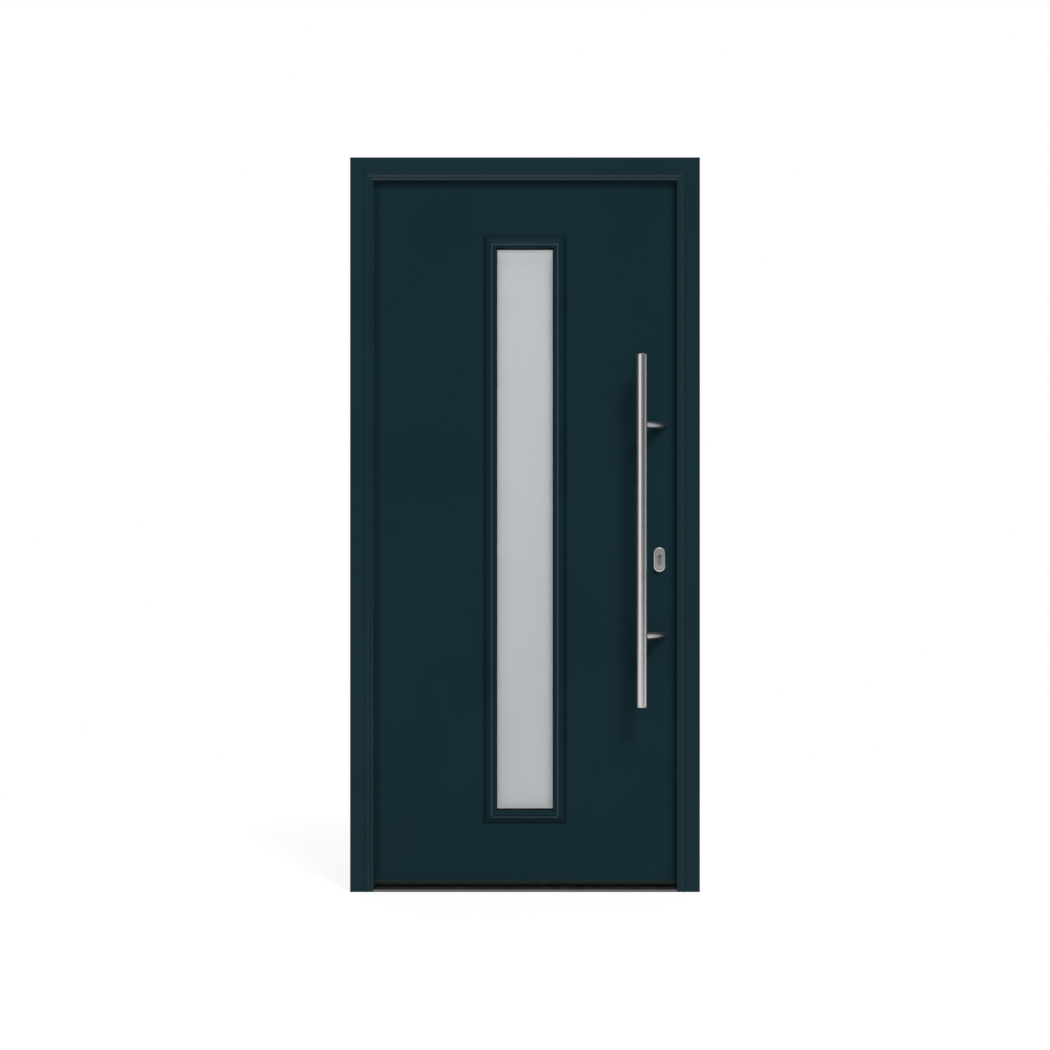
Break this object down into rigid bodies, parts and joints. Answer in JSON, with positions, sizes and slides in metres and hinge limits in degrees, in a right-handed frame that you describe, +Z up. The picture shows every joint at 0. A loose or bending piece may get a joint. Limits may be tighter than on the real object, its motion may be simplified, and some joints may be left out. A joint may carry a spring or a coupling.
{
  "type": "front door with glazed panel",
  "caption": "Front door leaf with a tall frosted glazed panel, outside pull bar, inside lever and hook lock, hung in a moulded aluminium frame with a low threshold.",
  "frame": {"origin": "middle of the frame's width and depth, on the underside of the threshold", "axes": "+X to the right seen from outside, +Y inwards, +Z up"},
  "size_m": [1, 0.2085, 2.1],
  "materials": {
    "frame_coat": "satin powder coat, dark teal",
    "leaf_coat": "fine textured powder coat, dark teal",
    "trim_coat": "painted moulding, dark teal satin",
    "stainless": "fine brushed stainless",
    "lock_steel": "plain zinc-coated steel",
    "nickel": "nickel-plated brass, satin",
    "aluminium": "mill and anodised aluminium",
    "gasket_rubber": "black gasket rubber",
    "seal_rubber": "dark grey-green seal rubber",
    "frosted_glass": "frosted pale pane",
    "clear_glass": "clear pane",
    "insulation": "glass-filled polyamide",
    "foam": "rigid foam",
    "timber": "laminated softwood"
  },
  "bodies": {
    "frame": {"jamb_outer_left": "frame_coat", "jamb_outer_right": "frame_coat", "head_outer": "frame_coat", "jamb_inner_left": "frame_coat", "jamb_inner_right": "frame_coat", "head_inner": "frame_coat", "strike_centre": "lock_steel", "strike_lower": "lock_steel", "strike_upper": "lock_steel", "hinge_frame_wing_lower": "stainless", "hinge_frame_wing_middle": "stainless", "hinge_frame_wing_upper": "stainless", "insulating_bars": "insulation", "corner_cleats": "aluminium", "threshold": "aluminium", "frame_gasket": "gasket_rubber", "frame_screws": "lock_steel", "hinge_pins": "stainless"},
    "leaf": {"leaf_screws": "lock_steel", "skin_outer": "leaf_coat", "skin_inner": "leaf_coat", "stile_lock": "timber", "stile_hinge": "timber", "rail_bottom": "timber", "rail_top": "timber", "foam_core": "foam", "bottom_seal": "seal_rubber", "trim_outer": "trim_coat", "trim_inner": "trim_coat", "pane_outer": "frosted_glass", "pane_inner": "clear_glass", "glass_spacer": "aluminium", "glazing_gaskets": "gasket_rubber", "setting_blocks": "insulation", "lock_faceplate": "stainless", "lock_case": "lock_steel", "hook_case_lower": "lock_steel", "hook_case_upper": "lock_steel", "cylinder_body": "nickel", "cylinder_rosette": "stainless", "inside_plate": "stainless", "pull_bar": "stainless", "pull_end_caps": "stainless", "pull_post_lower": "stainless", "pull_post_upper": "stainless", "pull_bolts": "stainless", "hinge_leaf_wing_lower": "stainless", "hinge_leaf_wing_middle": "stainless", "hinge_leaf_wing_upper": "stainless"},
    "lever": {"inside_lever": "stainless", "lever_spindle": "lock_steel", "lever_follower": "lock_steel"},
    "latch": {"latch_bolt": "lock_steel"},
    "key": {"key_plug": "nickel", "cylinder_cam": "lock_steel"},
    "bolt": {"dead_bolt": "lock_steel"},
    "lower_hook": {"hook_lower": "lock_steel"},
    "upper_hook": {"hook_upper": "lock_steel"},
    "rods": {"drive_rods": "lock_steel"},
    "keeper": {"strike_keeper": "lock_steel"}
  },
  "joints": [
    {"name": "leaf_swing", "type": "hinge", "parent": "frame", "child": "leaf", "pos_m": [-0.4525, 0.0515, 1.041], "axis": [0, 0, 1], "range_deg": [0, 110]},
    {"name": "lever_press", "type": "hinge", "parent": "leaf", "child": "lever", "pos_m": [0.385, 0.06, 1.05], "axis": [0, -1, 0], "range_deg": [0, 40], "stiffness_Nm_per_rad": 1.5, "springref_deg": -20.05},
    {"name": "latch_slide", "type": "slide", "parent": "leaf", "child": "latch", "axis": [-1, 0, 0], "range_m": [0, 0.014]},
    {"name": "key_turn", "type": "hinge", "parent": "leaf", "child": "key", "pos_m": [0.385, 0, 0.958], "axis": [0, 1, 0], "range_deg": [0, 360]},
    {"name": "bolt_throw", "type": "slide", "parent": "leaf", "child": "bolt", "axis": [1, 0, 0], "range_m": [0, 0.02]},
    {"name": "lower_hook_swing", "type": "hinge", "parent": "leaf", "child": "lower_hook", "pos_m": [0.434, 0.025, 0.332], "axis": [0, -1, 0], "range_deg": [0, 90]},
    {"name": "upper_hook_swing", "type": "hinge", "parent": "leaf", "child": "upper_hook", "pos_m": [0.434, 0.025, 1.75], "axis": [0, -1, 0], "range_deg": [0, 90]},
    {"name": "rod_lift", "type": "slide", "parent": "leaf", "child": "rods", "axis": [0, 0, 1], "range_m": [0, 0.02]},
    {"name": "keeper_slide", "type": "slide", "parent": "frame", "child": "keeper", "axis": [-1, 0, 0], "range_m": [0, 0.009]}
  ],
  "couplings": [
    {"joint": "latch_slide", "follows": "lever_press", "m_per_rad": 0.02},
    {"joint": "key_turn", "follows": "rod_lift", "rad_per_m": 314},
    {"joint": "bolt_throw", "follows": "rod_lift", "ratio": 1},
    {"joint": "lower_hook_swing", "follows": "rod_lift", "rad_per_m": 78.5},
    {"joint": "upper_hook_swing", "follows": "rod_lift", "rad_per_m": 78.5}
  ]
}
